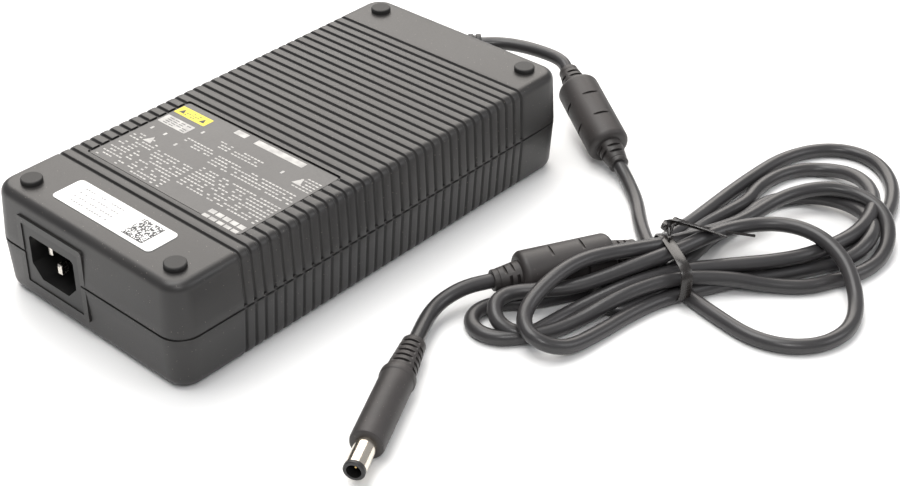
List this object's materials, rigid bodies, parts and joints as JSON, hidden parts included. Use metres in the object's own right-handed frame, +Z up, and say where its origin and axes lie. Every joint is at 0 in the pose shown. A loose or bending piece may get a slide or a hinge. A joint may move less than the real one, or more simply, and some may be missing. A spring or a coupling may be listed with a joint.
{
  "type": "laptop power adapter",
  "caption": "Ribbed rectangular laptop power adapter with a mains inlet, rubber feet, a fixed low voltage lead with ferrite sleeves tied in a hank, and a barrel plug.",
  "frame": {"origin": "middle of the case's footprint, on the surface that the case lies on", "axes": "+X along the case from the mains inlet end to the lead end, +Y across the case, +Z up from the plain face to the labelled face with the feet"},
  "size_m": [0.285, 0.249, 0.045],
  "materials": {
    "case_plastic": "fine moulded texture, warm charcoal grey",
    "screw_steel": "zinc plated",
    "foot_rubber": "matte",
    "label_film": "satin film, dark grey",
    "sticker_paper": "smooth white paper",
    "inlet_plastic": "satin black",
    "pin_nickel": "nickel plated",
    "gland_rubber": "satin",
    "lead_jacket": "satin jacket, dark grey",
    "tie_plastic": "glossy black",
    "overmould_plastic": "matte moulding, dark grey",
    "ferrite_ceramic": "dark sintered ferrite",
    "barrel_nickel": "nickel plated",
    "barrel_liner": "black",
    "contact_brass": "polished",
    "insulation_film": "milky film",
    "spreader_copper": "thin copper sheet",
    "spacer_nylon": "natural nylon",
    "board_laminate": "green solder mask",
    "fuse_ceramic": "glazed",
    "capacitor_film": "yellow case",
    "copper_wire": "enamelled copper",
    "heatsink_aluminium": "bare",
    "package_resin": "moulded resin",
    "capacitor_sleeve": "shrink sleeve",
    "winding_tape": "yellow tape",
    "wire_brown": "insulated wire",
    "wire_blue": "insulated wire",
    "wire_green": "insulated wire",
    "wire_red": "insulated wire",
    "wire_black": "insulated wire"
  },
  "bodies": {
    "root": {"barrel_insulator": "barrel_liner", "barrel_sleeve": "barrel_nickel", "board_spacers": "spacer_nylon", "boost_choke_core": "ferrite_ceramic", "boost_choke_winding": "copper_wire", "bridge_rectifier": "package_resin", "bulk_capacitor": "capacitor_sleeve", "case_screws": "screw_steel", "centre_pin": "contact_brass", "circuit_board": "board_laminate", "common_mode_choke_core": "ferrite_ceramic", "common_mode_choke_winding": "copper_wire", "cord_gland": "gland_rubber", "earth_pin": "pin_nickel", "earth_wire": "wire_green", "end_sticker": "sticker_paper", "ferrite_1_core": "ferrite_ceramic", "ferrite_1_overmould": "overmould_plastic", "ferrite_2_core": "ferrite_ceramic", "ferrite_2_overmould": "overmould_plastic", "heat_spreader_cover": "spreader_copper", "heat_spreader_tray": "spreader_copper", "inlet_body": "inlet_plastic", "input_fuse": "fuse_ceramic", "insulation_sheet": "insulation_film", "lead_case_to_ferrite": "lead_jacket", "lead_ferrite_to_hank": "lead_jacket", "lead_ferrite_to_plug": "lead_jacket", "lead_hank": "lead_jacket", "lead_in_ferrite_1": "lead_jacket", "lead_in_ferrite_2": "lead_jacket", "line_filter_capacitor": "capacitor_film", "line_pin": "pin_nickel", "line_wire": "wire_brown", "lower_shell": "case_plastic", "neutral_pin": "pin_nickel", "neutral_wire": "wire_blue", "output_capacitor_1": "capacitor_sleeve", "output_capacitor_2": "capacitor_sleeve", "output_capacitor_3": "capacitor_sleeve", "output_rectifier": "package_resin", "output_wire_positive": "wire_red", "output_wire_return": "wire_black", "plug_overmould": "overmould_plastic", "primary_heatsink": "heatsink_aluminium", "rating_label": "label_film", "rubber_foot_1": "foot_rubber", "rubber_foot_2": "foot_rubber", "rubber_foot_3": "foot_rubber", "rubber_foot_4": "foot_rubber", "secondary_heatsink": "heatsink_aluminium", "switching_transistor_1": "package_resin", "switching_transistor_2": "package_resin", "transformer_core": "ferrite_ceramic", "transformer_winding": "winding_tape", "twist_tie": "tie_plastic", "upper_shell": "case_plastic"}
  },
  "joints": []
}
